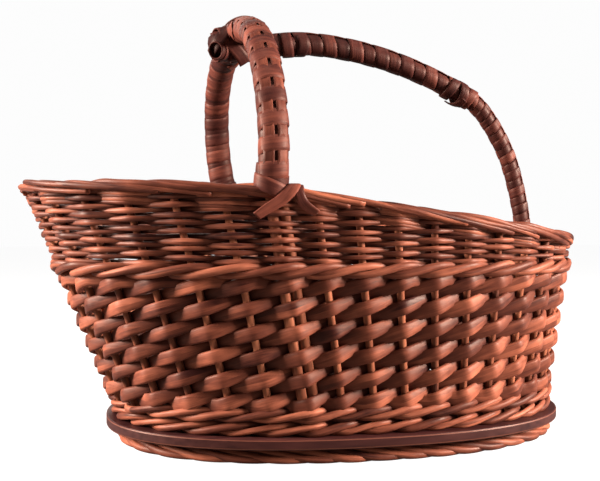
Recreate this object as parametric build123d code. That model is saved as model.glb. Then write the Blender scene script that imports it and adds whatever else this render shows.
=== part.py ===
from build123d import *
import math
import os

# Wicker egg-collecting basket on a round-edged board, with a wrapped hoop across
# its width and a wrapped arm from the hoop's crown to the low end.
# Millimetres. +X runs towards the low end, +Z is up, the ground is z = 0.
# "Out" is the distance outwards from the line of stakes; a "place" is a post's
# number round the wall, counted towards the low end from the near leg of the hoop.

# --- plan and lean of the wall ---
board_length = 330.0
board_width = 221.0
board_thickness = 7.0
board_offset = 22.0        # board's centre, towards the low end from the rim's centre
board_corner = 1.2         # rounding of the board's edges
stake_inset = 12.0         # stakes stand this far inside the board's edge
outline_power = 2.3        # superellipse exponent of the plan; 2 is an ellipse
lean_tall_end = 0.404      # outward run for each unit of rise
lean_low_end = 0.148
lean_side = 0.135
foot_height = 10.0         # ground to the board's underside

# --- top edge ---
rim_at_hoop = 172.5        # top of the border where the hoop stands
rim_slope_tall = 0.036     # rise for each unit towards the tall end
rim_slope_low = 0.13       # fall for each unit towards the low end
border_above = 9.8         # top of the border above its own base line
border_below = 3.2         # lowest tail below that base line
border_bend = 3.4
bend_start = 4.0           # start of a tip's bend below the base line
border_route = [           # spaces passed, out, height above the base line
    (0.0, 0.0, 2.4),
    (0.5, -1.8, 3.2),
    (1.0, -4.7, 4.2),
    (1.5, 0.0, 7.6),
    (2.0, 4.8, 5.0),
    (2.5, 4.9, 1.0),
    (2.9, 4.9, -1.0),
]

# --- foot, under the board ---
foot_bend = 3.2
foot_route = [(1.0, 0.5, 3.5), (2.0, 0.0, 7.3), (2.3, 0.0, 7.6)]  # spaces passed, share of drop left, out

# --- posts: stakes, and the hoop's legs, which stand in the wall as two more posts ---
spaces_low_end = 24        # spaces between posts round the low end, leg to leg
spaces_tall_end = 14
stake_diameter = 4.8
tail_diameter = 4.3        # stakes thin towards their tips, in the foot and the border
hole_clearance = 0.2       # round a stake's butt, in the board
stake_seat = 1.0           # change from stake to butt above the board
gap = 0.15                 # between rods that bear on each other

# --- weavers ---
base_wale_diameter = 4.2
base_wale_rounds = 2
body_rod_diameter = 6.6
body_rod_space = 0.8       # left between a body rod and the next one up
body_rod_steps = 10        # posts that a body rod passes
top_wale_diameter = 4.7
fine_rod_diameter = 2.5
fine_row_least = 8         # fewest posts that a fine row passes
weaver_bend = 7.0          # radius of a weaver's bend round a post
plain_tuck = 0.35          # share of a space by which a weaver's ends pass their last posts
wale_tuck = 0.3
joint_stagger = 5          # posts between the ends of one row and of the next
first_joint = 27           # post behind which the first row's ends lie

# --- hoop ---
hoop_x = -45.0
core_diameter = 7.0
core_spread = 3.6          # half the distance between the hoop's two core rods
hoop_wrap_outer = 20.0
hoop_wrap_inner = 17.4
lister_diameter = 4.8
hoop_corners = [(120.5, 195.0), (101.0, 246.0), (55.0, 279.0), (0.0, 291.0)]  # half width, height
hoop_bend = 110.0
leg_wrap_lift = 3.5        # start of the leg's wrapping above the border

# --- arm ---
arm_corners = [
    (-60.0, 0.0, 268.0),
    (-15.0, 1.6, 283.0),
    (40.0, 4.6, 279.5),
    (95.0, 7.5, 264.5),
    (140.0, 9.6, 242.5),
    (163.0, 10.9, 208.0),
    (172.5, 11.6, 178.0),
    (178.5, 12.0, 148.0),
    (171.0, 12.0, 92.0),
]
arm_bend = 40.0
arm_core_diameter = 8.5
arm_lister_diameter = 2.4
arm_wrap_outer = 17.2
arm_wrap_inner = 14.8
arm_wrap_start = 0.62      # share of the arm's first run
arm_wrap_change = 0.5      # share of the run where the thick wrapping gives way
lower_wrap_outer = 13.2
lower_wrap_inner = 10.8
lower_wrap_end = 0.05      # share of the arm's last run

# --- lashings and ties ---
tie_thickness = 1.2
tie_width = 8.0
tie_inner_side = -5.8      # sides of a rim tie's bore, out from the stakes
tie_outer_side = 7.3
arm_foot_clearance = 0.8   # between the arm's foot and the tie that holds it to the border
tie_below = 1.8            # bottom of that bore below the border's base line
tie_above = 0.4            # top of that bore above the border
crown_lashing_length = 11.0
arm_tie_length = 12.0

# --- values that follow from these ---
board_top = foot_height + board_thickness
stake_half_length = board_length / 2 - stake_inset
stake_half_width = board_width / 2 - stake_inset
posts = spaces_low_end + spaces_tall_end
leg_posts = (0, spaces_low_end)
stake_posts = [number for number in range(posts) if number not in leg_posts]
base_wale_lift = base_wale_diameter + gap
body_rod_climb = body_rod_diameter + body_rod_space  # from one post to the next
body_base = board_top + 2 * base_wale_lift * base_wale_rounds + gap
body_top = body_base + body_rod_diameter + body_rod_climb * body_rod_steps + gap
top_wale_lift = top_wale_diameter + gap
fine_base = body_top + 2 * top_wale_lift + gap
fine_pitch = fine_rod_diameter + gap


def ring(z):
    """Centre, half-length and half-width of the line of stakes at height z."""
    rise = z - board_top
    tall_end = board_offset - stake_half_length - lean_tall_end * rise
    low_end = board_offset + stake_half_length + lean_low_end * rise
    return (tall_end + low_end) / 2, (low_end - tall_end) / 2, stake_half_width + lean_side * rise


def signed_power(value, power):
    return math.copysign(abs(value) ** power, value)


def outline_point(angle, z, out=0.0):
    """Point of the wall at a plan angle and height, moved outwards by out."""
    centre, half_length, half_width = ring(z)
    along = signed_power(math.cos(angle), 2 / outline_power)
    across = signed_power(math.sin(angle), 2 / outline_power)
    normal = Vector(
        signed_power(along, outline_power - 1) / half_length,
        signed_power(across, outline_power - 1) / half_width,
    ).normalized()
    return Vector(centre + half_length * along, half_width * across, z) + normal * out


def leg_angle():
    """Plan angle of the hoop's near leg where it leaves the rim."""
    centre, half_length, _ = ring(rim_at_hoop)
    cosine = signed_power((hoop_x - centre) / half_length, outline_power / 2)
    return -math.acos(cosine)


def spaced_angles(start, end, count, z, steps=400):
    """Plan angles of count equal spaces along the wall's outline from start to end."""
    angles = [start + (end - start) * step / steps for step in range(steps + 1)]
    points = [outline_point(angle, z) for angle in angles]
    reached = [0.0]
    for one, following in zip(points, points[1:]):
        reached.append(reached[-1] + (following - one).length)
    result = []
    step = 0
    for number in range(count):
        wanted = reached[-1] * number / count
        while reached[step + 1] < wanted:
            step += 1
        share = (wanted - reached[step]) / (reached[step + 1] - reached[step])
        result.append(angles[step] + (angles[step + 1] - angles[step]) * share)
    return result


near_leg = leg_angle()
spacing_height = (body_base + body_top) / 2
post_angles = spaced_angles(near_leg, -near_leg, spaces_low_end, spacing_height)
post_angles += spaced_angles(-near_leg, near_leg + 2 * math.pi, spaces_tall_end, spacing_height)


def place(number, z, out=0.0):
    """Point of the wall at a post's number, which may fall between two posts."""
    whole = math.floor(number)
    turns, index = divmod(whole, posts)
    angle = post_angles[index] + 2 * math.pi * turns
    if index + 1 < posts:
        following = post_angles[index + 1] + 2 * math.pi * turns
    else:
        following = post_angles[0] + 2 * math.pi * (turns + 1)
    return outline_point(angle + (following - angle) * (number - whole), z, out)


def border_base(number):
    """Height of the border's base line at a post's number."""
    x = place(number, rim_at_hoop).X
    slope = rim_slope_low if x > hoop_x else rim_slope_tall
    return rim_at_hoop - border_above - slope * (x - hoop_x)


def rod(points, diameter, bend, bore=0.0):
    """Round rod, or sleeve with a bore, along straight runs joined by tangent arcs."""
    radii = []
    for before, corner, after in zip(points, points[1:], points[2:]):
        arriving = corner - before
        leaving = after - corner
        half_turn = math.radians(arriving.get_angle(leaving)) / 2
        room = 0.45 * min(arriving.length, leaving.length) / math.tan(half_turn)
        radii.append(min(bend, room))
    path = FilletPolyline(*points, radius=radii) if radii else Line(*points)
    section = Circle(diameter / 2)
    if bore:
        section -= Circle(bore / 2)
    return sweep(Plane(path @ 0, z_dir=path % 0) * section, path=path).solid()


def shifted(points, distance, side):
    """Path moved sideways in its own plane, whose normal is side."""
    runs = [(end - start).normalized() for start, end in zip(points, points[1:])]
    runs = [runs[0]] + runs + [runs[-1]]
    moved = []
    for point, arriving, leaving in zip(points, runs, runs[1:]):
        across = (side.cross(arriving) + side.cross(leaving)).normalized()
        moved.append(point + across * (distance / across.dot(side.cross(arriving))))
    return moved


def between(start, end, share):
    return start + (end - start) * share


def bend_cut(diameter):
    """How far a weaver's bend passes inside its corner, nearly."""
    return 0.06 * weaver_bend + 0.12 * diameter


def around_post(number, z, side, diameter):
    """Corners of a weaver that passes a post on its outer (1) or inner (-1) side."""
    leg = number % posts in leg_posts
    half_post = core_diameter / 2 if leg else stake_diameter / 2
    out = side * (half_post + diameter / 2 + gap + bend_cut(diameter))
    if not leg:
        return [place(number, z, out)]
    spread = (core_spread + core_diameter / 4) / (place(number + 1, z) - place(number, z)).length
    return [place(number - spread, z, out), place(number + spread, z, out)]


def weaver_end(number, z, diameter):
    """End of a weaver, tucked against the wall's inner side."""
    return place(number, z, -(stake_diameter + diameter) / 2 - gap)


def plain_weaver(first, last, height, diameter):
    """Weaver that goes behind one post and in front of the next, by height(number)."""
    start, end = first - plain_tuck, last + plain_tuck
    points = [weaver_end(start, height(start), diameter)]
    for number in range(first, last + 1):
        side = 1 if (number - first) % 2 else -1
        points += around_post(number, height(number), side, diameter)
    points.append(weaver_end(end, height(end), diameter))
    return rod(points, diameter, weaver_bend)


def wale_weaver(first, z, diameter):
    """One of three weavers that each pass in front of two posts and behind one."""
    half_lift = (diameter + gap) / 2
    points = [weaver_end(first + wale_tuck, z, diameter)]
    for step in range(1, posts):
        phase = step % 3
        number = first + step
        if phase == 0:
            points += around_post(number, z, -1, diameter)
        elif phase == 1:
            points.append(place(number - 0.5, z - half_lift))
            points += around_post(number, z - half_lift, 1, diameter)
        else:
            points += around_post(number, z + half_lift, 1, diameter)
            points.append(place(number + 0.5, z + half_lift))
    points.append(weaver_end(first + posts - wale_tuck, z, diameter))
    return rod(points, diameter, weaver_bend)


def wale(base, rounds, first, diameter):
    """Level rounds of waling, three rods to a round."""
    lift = diameter + gap
    rods = []
    for turn in range(rounds):
        z = base + lift * (2 * turn + 1)
        start = first + turn * joint_stagger
        rods += [wale_weaver(start + strand, z, diameter) for strand in range(3)]
    return rods


def make_board():
    """Plywood base with a hole for each butt of the foot."""
    corners = [math.radians(degrees) for degrees in range(0, 360, 6)]
    edge = [
        (
            board_offset + board_length / 2 * signed_power(math.cos(angle), 2 / outline_power),
            board_width / 2 * signed_power(math.sin(angle), 2 / outline_power),
        )
        for angle in corners
    ]
    outline = make_face(Spline(*edge, periodic=True))
    board = extrude(Pos(0, 0, foot_height) * outline, board_thickness)
    rims = board.faces().sort_by(Axis.Z)
    board = fillet(rims[0].edges() + rims[-1].edges(), board_corner)
    hole = tail_diameter / 2 + hole_clearance
    for number in range(posts):
        low = place(number, foot_height - board_thickness)
        high = place(number, board_top + board_thickness)
        tool = Solid.make_cylinder(hole, (high - low).length, Plane(low, z_dir=high - low))
        board -= tool
    return [board.solid()]


def make_stakes():
    """Upright stakes, from the board to where their tips bend into the border."""
    stakes = []
    for number in stake_posts:
        low = place(number, board_top + stake_seat)
        high = place(number, border_base(number) - bend_start)
        stakes.append(
            Solid.make_cylinder(stake_diameter / 2, (high - low).length, Plane(low, z_dir=high - low))
        )
    return stakes


def make_foot():
    """Butts laid outwards under the board, each over the next two; a leg's butt ends in the board."""
    radius = tail_diameter / 2
    turn_height = foot_height - radius - gap
    strands = []
    for number in range(posts):
        seat = 0.0 if number in leg_posts else stake_seat
        points = [
            place(number, board_top + seat),
            place(number, turn_height),
        ]
        for step, left, out in foot_route:
            points.append(place(number + step, radius + (turn_height - radius) * left, out))
        strands.append(rod(points, tail_diameter, foot_bend))
    return strands


def make_border():
    """Tips of the stakes: behind one post, over the top, and down in front of two."""
    strands = []
    for number in stake_posts:
        points = [place(number, border_base(number) - bend_start)]
        for step, out, lift in border_route:
            if (number + step) % posts in leg_posts:
                out += math.copysign((core_diameter - stake_diameter) / 2, out)
            points.append(place(number + step, border_base(number + step) + lift, out))
        strands.append(rod(points, tail_diameter, border_bend))
    return strands


def make_body():
    """Body rods, one started in each space, climbing side by side round the wall."""
    lowest = body_base + body_rod_diameter / 2
    rods = []
    for start in range(posts):

        def height(number):
            share = min(max(number - start, 0), body_rod_steps)
            return lowest + body_rod_climb * share

        rods.append(plain_weaver(start, start + body_rod_steps, height, body_rod_diameter))
    return rods


def fine_row_posts(z):
    """Posts round the tall end that a fine row at height z reaches under the border."""
    room = border_below + fine_rod_diameter / 2 + gap
    low_end = spaces_low_end // 2
    return [number for number in range(low_end, low_end + posts) if border_base(number) - room >= z]


def make_fine_rows():
    """Fine rows from the top wale to the border, each shorter than the last as the rim comes down."""
    rows = []
    z = fine_base + fine_rod_diameter / 2
    reached = fine_row_posts(z)
    while len(reached) >= fine_row_least:
        first = reached[0] + (reached[0] + len(rows)) % 2
        last = reached[-1] - (reached[-1] - first) % 2
        rows.append(plain_weaver(first, last, lambda _: z, fine_rod_diameter))
        z += fine_pitch
        reached = fine_row_posts(z)
    return rows


def hoop_path(bottom):
    """Hoop's centre line from a point on its near leg to the one on its far leg."""
    near = [Vector(hoop_x, -half_width, z) for half_width, z in hoop_corners]
    far = [Vector(hoop_x, half_width, z) for half_width, z in reversed(hoop_corners[:-1])]
    last = Vector(bottom.X, -bottom.Y, bottom.Z)
    return [bottom] + near + far + [last]


def hoop_leg(z):
    """Point on the near leg above the rim."""
    foot = place(0, rim_at_hoop)
    shoulder = Vector(hoop_x, -hoop_corners[0][0], hoop_corners[0][1])
    return between(foot, shoulder, (z - foot.Z) / (shoulder.Z - foot.Z))


def make_hoop_core():
    """Two rods side by side, from the board up through the wall and over."""
    rods = []
    for offset in (Vector(-core_spread, 0, 0), Vector(core_spread, 0, 0)):
        foot = place(0, board_top + core_diameter * lean_side)
        arch = hoop_path(place(0, rim_at_hoop))
        far_foot = Vector(foot.X, -foot.Y, foot.Z)
        points = [point + offset for point in [foot] + arch + [far_foot]]
        rods.append(rod(points, core_diameter, hoop_bend))
    return rods


def make_hoop_listers():
    """Rods laid along the inner and outer side of the hoop, under its wrapping."""
    path = hoop_path(hoop_leg(rim_at_hoop + leg_wrap_lift))
    distance = (core_diameter + lister_diameter) / 2 + gap / 2
    side = Vector(1, 0, 0)
    return [
        rod(shifted(path, distance, side), lister_diameter, hoop_bend),
        rod(shifted(path, -distance, side), lister_diameter, hoop_bend),
    ]


def make_hoop_wrap():
    """Wrapping of flat willow skein round the hoop."""
    path = hoop_path(hoop_leg(rim_at_hoop + leg_wrap_lift))
    return [rod(path, hoop_wrap_outer, hoop_bend, hoop_wrap_inner)]


arm = [Vector(*corner) for corner in arm_corners]
arm_change = between(arm[3], arm[4], arm_wrap_change)


def along_arm(start, length):
    """Stretch of the arm's run through start, centred on it."""
    run = (arm[4] - arm[3]).normalized()
    return [start - run * (length / 2), start + run * (length / 2)]


def make_arm_core():
    """Rod from under the hoop's crown to the inner side of the low end's wall."""
    return [rod(arm, arm_core_diameter, arm_bend)]


def make_arm_lister():
    """Strip along the arm's upper side, under every second turn of the wrapping."""
    path = [between(arm[0], arm[1], arm_wrap_start), *arm[1:4], arm_change]
    distance = (arm_core_diameter + arm_lister_diameter) / 2 + gap
    side = (arm[4] - arm[1]).cross(Vector(0, 0, 1)).normalized()
    return [rod(shifted(path, distance, side), arm_lister_diameter, arm_bend)]


def make_arm_wraps():
    """Thick wrapping of the arm's upper stretch, and thin wrapping down to the rim."""
    upper = [between(arm[0], arm[1], arm_wrap_start), *arm[1:4], arm_change]
    lower = [arm_change, *arm[4:8], between(arm[7], arm[8], lower_wrap_end)]
    return (
        [rod(upper, arm_wrap_outer, arm_bend, arm_wrap_inner)],
        [rod(lower, lower_wrap_outer, arm_bend, lower_wrap_inner)],
    )


def band(ends, bore):
    """Lashing round a wrapped stretch, as a plain ring."""
    return [rod(ends, bore + 2 * (tie_thickness + gap), 0, bore + 2 * gap)]


def make_crown_lashing():
    run = (arm[1] - arm[0]).normalized()
    start = between(arm[0], arm[1], arm_wrap_start) + run * gap
    return band([start, start + run * crown_lashing_length], arm_wrap_outer)


def make_arm_tie():
    run = (arm[4] - arm[3]).normalized()
    return band([arm_change - run * arm_tie_length, arm_change], arm_wrap_outer)


def rim_tie(number, inner_side, outer_side):
    """Skein tied round the border at a place between two posts, with its bore's two sides."""
    base = border_base(number)
    outwards = (place(number, base, 1.0) - place(number, base)).normalized()
    low_side, high_side = base - tie_below, base + border_above + tie_above
    middle = place(number, (low_side + high_side) / 2, (inner_side + outer_side) / 2)
    plane = Plane(middle, x_dir=outwards, z_dir=outwards.cross(Vector(0, 0, 1)))
    width, height = outer_side - inner_side, high_side - low_side
    edge = 2 * tie_thickness
    loop = RectangleRounded(width + edge, height + edge, edge) - RectangleRounded(width, height, edge / 2)
    return extrude(plane * loop, tie_width / 2, both=True).solid()


def make_leg_ties():
    """Ties close beside the hoop's two legs, on the side of the low end."""
    distance = core_spread + core_diameter / 2 + gap + tie_width / 2
    spaces = distance / (place(1, rim_at_hoop) - place(0, rim_at_hoop)).length
    return [
        rim_tie(number, tie_inner_side, tie_outer_side)
        for number in (spaces, spaces_low_end - spaces)
    ]


def make_arm_foot_tie():
    """Tie round the border and the arm's foot, which stands inside the wall."""
    number = spaces_low_end / 2 + 0.5
    base = border_base(number)
    foot = between(arm[-2], arm[-1], (arm[-2].Z - base) / (arm[-2].Z - arm[-1].Z))
    inner_side = foot.X - place(number, base).X - arm_core_diameter / 2 - arm_foot_clearance
    return rim_tie(number, inner_side, tie_outer_side)


arm_wrap_upper, arm_wrap_lower = make_arm_wraps()
near_leg_tie, far_leg_tie = make_leg_ties()
nodes = {
    "base_board": make_board(),
    "side_stakes": make_stakes(),
    "foot_border": make_foot(),
    "base_wale": wale(board_top, base_wale_rounds, first_joint, base_wale_diameter),
    "body_weave": make_body(),
    "top_wale": wale(body_top, 1, first_joint, top_wale_diameter),
    "fine_rows": make_fine_rows(),
    "rim_border": make_border(),
    "hoop_core": make_hoop_core(),
    "hoop_listers": make_hoop_listers(),
    "hoop_wrap": make_hoop_wrap(),
    "arm_core": make_arm_core(),
    "arm_lister": make_arm_lister(),
    "arm_wrap_upper": arm_wrap_upper,
    "arm_wrap_lower": arm_wrap_lower,
    "crown_lashing": make_crown_lashing(),
    "arm_tie": make_arm_tie(),
    "near_leg_tie": [near_leg_tie],
    "far_leg_tie": [far_leg_tie],
    "arm_foot_tie": [make_arm_foot_tie()],
}

boxes = [solid.bounding_box() for solids in nodes.values() for solid in solids]
whole = boxes[0]
for one in boxes[1:]:
    whole = whole.add(one)
middle = whole.center()
origin_shift = Location((-middle.X, -middle.Y, -whole.min.Z))
os.makedirs("parts", exist_ok=True)
for name, solids in nodes.items():
    moved = [solid.moved(origin_shift) for solid in solids]
    export_step(moved[0] if len(moved) == 1 else Compound(moved), f"parts/{name}.step")
print("box", whole.size, "shift", origin_shift.position)
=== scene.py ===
import bpy
import math
import random
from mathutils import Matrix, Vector


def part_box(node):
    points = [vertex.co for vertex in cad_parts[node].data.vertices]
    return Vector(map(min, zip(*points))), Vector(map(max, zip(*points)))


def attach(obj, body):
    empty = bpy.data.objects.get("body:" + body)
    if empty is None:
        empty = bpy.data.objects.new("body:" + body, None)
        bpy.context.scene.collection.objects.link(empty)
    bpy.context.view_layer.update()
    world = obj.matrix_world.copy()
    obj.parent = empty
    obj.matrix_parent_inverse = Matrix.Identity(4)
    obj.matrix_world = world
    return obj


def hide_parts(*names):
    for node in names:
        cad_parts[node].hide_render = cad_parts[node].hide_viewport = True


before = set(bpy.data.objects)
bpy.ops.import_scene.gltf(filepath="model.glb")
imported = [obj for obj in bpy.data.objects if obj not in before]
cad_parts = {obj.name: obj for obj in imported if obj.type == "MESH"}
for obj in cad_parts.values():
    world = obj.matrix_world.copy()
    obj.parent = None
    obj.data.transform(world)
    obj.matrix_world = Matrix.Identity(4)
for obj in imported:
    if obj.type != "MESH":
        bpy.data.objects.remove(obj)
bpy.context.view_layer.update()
scene = bpy.context.scene

# Lengths are in metres, but the tables for the handle and the rim and the sizes of skein are in
# millimetres. "Out" is the distance outwards from the line of stakes; a "place" is a post's
# number round the wall, counted towards the low end from the hoop's near leg.
MM = 0.001

# --- camera, light and floor ---
CAMERA_PLACE = Vector((-0.1333, -0.626, 0.1441))
CAMERA_TURN = math.radians(11.7)
CAMERA_DIP = math.radians(0.6)
CAMERA_LENS, CAMERA_SENSOR = 52.16, 36.0
LIGHTS = (  # name, place, size, power
    ("left", (-1.30, 0.04, 0.55), 0.5, 72.0),
    ("right", (1.22, -0.56, 0.55), 0.4, 78.0),
    ("top", (-0.1, -0.25, 1.6), 0.6, 6.0),
    ("back", (-0.2, 1.5, 0.9), 0.9, 6.0),
)
LIGHT_COLOR, WHITE = (1.0, 0.9, 0.82), (1, 1, 1, 1)
LIGHT_AIM = Vector((0, 0, 0.12))
SKY_LIGHT, SKY_SEEN = 0.13, 0.85  # strength for all rays, and more for the camera's
FLOOR_SIZE, FLOOR_SHADE, FLOOR_SEEN = 16.0, 0.16, 0.94

# --- wall, as the frame has it ---
board_low, board_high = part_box("base_board")
BOARD_X = (board_low.x + board_high.x) / 2
STAKE_INSET = 12.0 * MM
HALF_LENGTH = (board_high.x - board_low.x) / 2 - STAKE_INSET
HALF_WIDTH = (board_high.y - board_low.y) / 2 - STAKE_INSET
BOARD_TOP = board_high.z
BOARD_UNDER = board_low.z
OUTLINE_POWER = 2.3
LEAN_TALL_END, LEAN_LOW_END, LEAN_SIDE = 0.404, 0.148, 0.135
SPACES_LOW_END, SPACES_TALL_END = 24, 14
POSTS = SPACES_LOW_END + SPACES_TALL_END
LEG_POSTS = (0, SPACES_LOW_END)
STAKE_POSTS = [number for number in range(POSTS) if number not in LEG_POSTS]
RIM_AT_HOOP = 172.5 * MM
RIM_SLOPE_TALL, RIM_SLOPE_LOW = 0.036, 0.13
BORDER_ABOVE = 9.8 * MM  # height of the border above its own base line

# --- rods of the wall ---
GAP = 0.15 * MM
STAKE_RADIUS = 2.4 * MM
STAKE_LEVELS = 7  # a stake bends a little at each
TAIL_RADIUS = 2.2 * MM
LEG_EXTRA = 1.8 * MM  # a leg's rods push the weavers out by this much more than a stake
BEND_SHARP = 0.985  # how tightly a weaver bends round a post; 1 is a crease
SWELL_RATE = 2.1  # radians for each space at which thickness comes and goes
# painted shade: a strand's colour is darkened over this depth towards the wall's inner side
RECESS_SHADE_DEPTH = 9.0 * MM  # depth over which a strand darkens towards the wall's inner side
WALE_RADIUS = 2.1 * MM
TOP_WALE_RADIUS = 2.35 * MM
WALE_TALLER = 1.1  # height of a wale rod for each unit of its thickness
WALE_JOINT, JOINT_STAGGER = 27, 5  # post where a wale starts, and how far on its next round does
BODY_HALF_THICK = 1.75 * MM
BODY_HALF_TALL = [  # spaces from the post that it passes in front of, half height
    (-1.0, 3.8 * MM), (-0.6, 4.2 * MM), (0.0, 4.4 * MM),
    (0.45, 3.9 * MM), (0.85, 3.3 * MM), (1.0, 3.8 * MM),
]
BODY_FULLER = 1.04  # factor on all those heights
BODY_SQUARE = 0.6  # section's exponent; 1 is an ellipse, less is squarer
BODY_TUCK = 0.75  # spaces by which a body rod's ends pass their posts, inside the wall
BODY_TUCK_CLIMB = 0.25  # spaces of that over which it still climbs
BODY_HEIGHT = 6.6 * MM
BODY_CLIMB = 7.4 * MM
BODY_STEPS = 10
FINE_RADIUS = 1.25 * MM
FINE_PITCH = 2.65 * MM
FINE_LEAST = 8  # fewest posts that a fine row passes
FINE_REACH = 2.5 * MM  # height above the border's base line up to which a post counts
FINE_HIGHEST = 2.8 * MM  # highest level of a fine row above that line
FINE_ON = 4  # posts that a row runs on under the border
FINE_BED = 0.8 * MM  # depth to which the first row beds into the wale
FINE_WANDER = 0.7 * MM  # by which a fine row strays up and down
BORDER_ROWS = (4.4, 2.4, 0.4, -1.5)  # fine rods along the border, mm below its base line
BASE_WALE_LIFT = 2 * WALE_RADIUS + GAP
TOP_WALE_LIFT = 2 * TOP_WALE_RADIUS + GAP
BODY_BASE = BOARD_TOP + 4 * BASE_WALE_LIFT + GAP
BODY_FIRST = BODY_BASE + BODY_HEIGHT / 2
BODY_TOP = BODY_BASE + BODY_HEIGHT + BODY_CLIMB * BODY_STEPS + GAP
FINE_FIRST = BODY_TOP + 2 * TOP_WALE_LIFT + FINE_RADIUS - FINE_BED

# --- hoop and arm ---
hoop_low, hoop_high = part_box("hoop_wrap")
HOOP_X = (hoop_low.x + hoop_high.x) / 2
HOOP_CORNERS = [  # along from the hoop's middle plane, across, height
    (1.5, -120.5, 195.0), (0.0, -101.0, 246.0), (-1.5, -56.0, 277.5), (-3.0, 0.0, 288.5),
    (-8.0, 66.0, 279.5), (-9.0, 109.0, 249.0), (-5.0, 121.5, 196.0),
]
LEG_WRAP_LIFT = 3.5 * MM
ARM_CORNERS = [
    (-60.0, 0.0, 268.0), (-15.0, 1.6, 283.0), (40.0, 4.6, 279.5), (95.0, 7.5, 264.5),
    (140.0, 9.6, 242.5), (163.0, 10.9, 208.0), (172.5, 11.6, 178.0), (178.5, 12.0, 148.0),
    (171.0, 12.0, 92.0),
]
HOOP_PITCH = 7.2 * MM
UPPER_PITCH, LOWER_PITCH = 10.2 * MM, 6.6 * MM
SKEIN_THICK = 1.0 * MM
CORE_SPREAD = 3.6 * MM  # half the distance between the hoop's two core rods
CORE_RADIUS, ARM_CORE_RADIUS = 3.5 * MM, 4.25 * MM
CORE_SPACING = 4 * MM  # between the points of a core's path
BUTT_RADIUS, EYE_RADIUS = 8.0 * MM, 4.4 * MM
WRAP_SIDES, LOOP_SIDES = 44, 48  # points in one turn of a wrapping, and of a lashing
FOOT_SIDES, RIM_SIDES = 40, 32  # and of the ties at the arm's foot
WRAP_LAP = 2  # of those points by which each end of a turn runs past the seam
STRIP_SAMPLES = 7  # steps between two keys of a strip
SPLINE_STEPS = 60  # steps for each corner of a path

# --- materials ---
SHEEN_TINT = (1.0, 0.66, 0.52, 1.0)
WILLOW_SPECULAR, WILLOW_BUMP = 0.18, 0.7
WILLOW_COLORS = ("Light", "Middle", "Dark")
WILLOW_VALUES = ("Tone spread", "Fibre", "Knots", "Recess shade", "Gloss")
FIBRE_SCALE = (55.0, 1900.0, 1.0)  # along the strand, round it
STREAK_SCALE = (22.0, 420.0, 1.0)
PATCH_SCALE = (26.0, 60.0, 1.0)
KNOT_SCALE = (38.0, 90.0, 1.0)
# height of the painted highlight line near each face of the board's edge, as if a lip there caught the light
HIGHLIGHT_LINE = 2.6 * MM  # from the board's middle

random.seed(41)


# ===== wall outline =====

def ring(z):
    """Centre, half length and half width of the line of stakes at height z."""
    rise = z - BOARD_TOP
    tall_end = BOARD_X - HALF_LENGTH - LEAN_TALL_END * rise
    low_end = BOARD_X + HALF_LENGTH + LEAN_LOW_END * rise
    return (tall_end + low_end) / 2, (low_end - tall_end) / 2, HALF_WIDTH + LEAN_SIDE * rise


def signed_power(value, power):
    """A power that keeps its value's sign."""
    return math.copysign(abs(value) ** power, value)


def held(value, low=0.0, high=1.0):
    """The value, kept between two limits."""
    return min(max(value, low), high)


def reaches(points):
    """Length along a line of points up to each of them."""
    reached = [0.0]
    for one, following in zip(points, points[1:]):
        reached.append(reached[-1] + (following - one).length)
    return reached


def run_at(points, index):
    """Direction of a line of points at one of them."""
    return (points[min(index + 1, len(points) - 1)] - points[max(index - 1, 0)]).normalized()


def outline_point(angle, z, out=0.0):
    """Point of the wall at a plan angle and a height, and the wall's outward direction there."""
    centre, half_length, half_width = ring(z)
    along = signed_power(math.cos(angle), 2 / OUTLINE_POWER)
    across = signed_power(math.sin(angle), 2 / OUTLINE_POWER)
    outwards = Vector((
        signed_power(along, OUTLINE_POWER - 1) / half_length,
        signed_power(across, OUTLINE_POWER - 1) / half_width,
        0.0,
    )).normalized()
    return Vector((centre + half_length * along, half_width * across, z)) + outwards * out, outwards


def spaced_angles(start, end, count, z, steps=400):
    """Plan angles of count equal spaces along the wall's outline from start to end."""
    angles = [start + (end - start) * step / steps for step in range(steps + 1)]
    reached = reaches([outline_point(angle, z)[0] for angle in angles])
    result = []
    step = 0
    for number in range(count):
        wanted = reached[-1] * number / count
        while reached[step + 1] < wanted:
            step += 1
        share = (wanted - reached[step]) / (reached[step + 1] - reached[step])
        result.append(angles[step] + (angles[step + 1] - angles[step]) * share)
    return result


rim_centre, rim_half_length, _ = ring(RIM_AT_HOOP)
NEAR_LEG = -math.acos(signed_power((HOOP_X - rim_centre) / rim_half_length, OUTLINE_POWER / 2))
SPACING_HEIGHT = (BODY_BASE + BODY_TOP) / 2
post_angles = spaced_angles(NEAR_LEG, -NEAR_LEG, SPACES_LOW_END, SPACING_HEIGHT)
post_angles += spaced_angles(-NEAR_LEG, NEAR_LEG + 2 * math.pi, SPACES_TALL_END, SPACING_HEIGHT)


def place(number, z, out=0.0):
    """Point and outward direction at a post's number, which may fall between two posts."""
    whole = math.floor(number)
    turns, index = divmod(whole, POSTS)
    angle = post_angles[index] + 2 * math.pi * turns
    if index + 1 < POSTS:
        following = post_angles[index + 1] + 2 * math.pi * turns
    else:
        following = post_angles[0] + 2 * math.pi * (turns + 1)
    return outline_point(angle + (following - angle) * (number - whole), z, out)


def border_base(number):
    """Height of the border's base line at a post's number."""
    x = place(number, RIM_AT_HOOP)[0].x
    slope = RIM_SLOPE_LOW if x > HOOP_X else RIM_SLOPE_TALL
    return RIM_AT_HOOP - BORDER_ABOVE - slope * (x - HOOP_X)


def leg_near(number):
    """1 at a leg of the hoop, falling to 0 a space away."""
    away = min(abs((number - leg + POSTS / 2) % POSTS - POSTS / 2) for leg in LEG_POSTS)
    return max(0.0, 1 - away)


# ===== strand meshes =====

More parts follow.
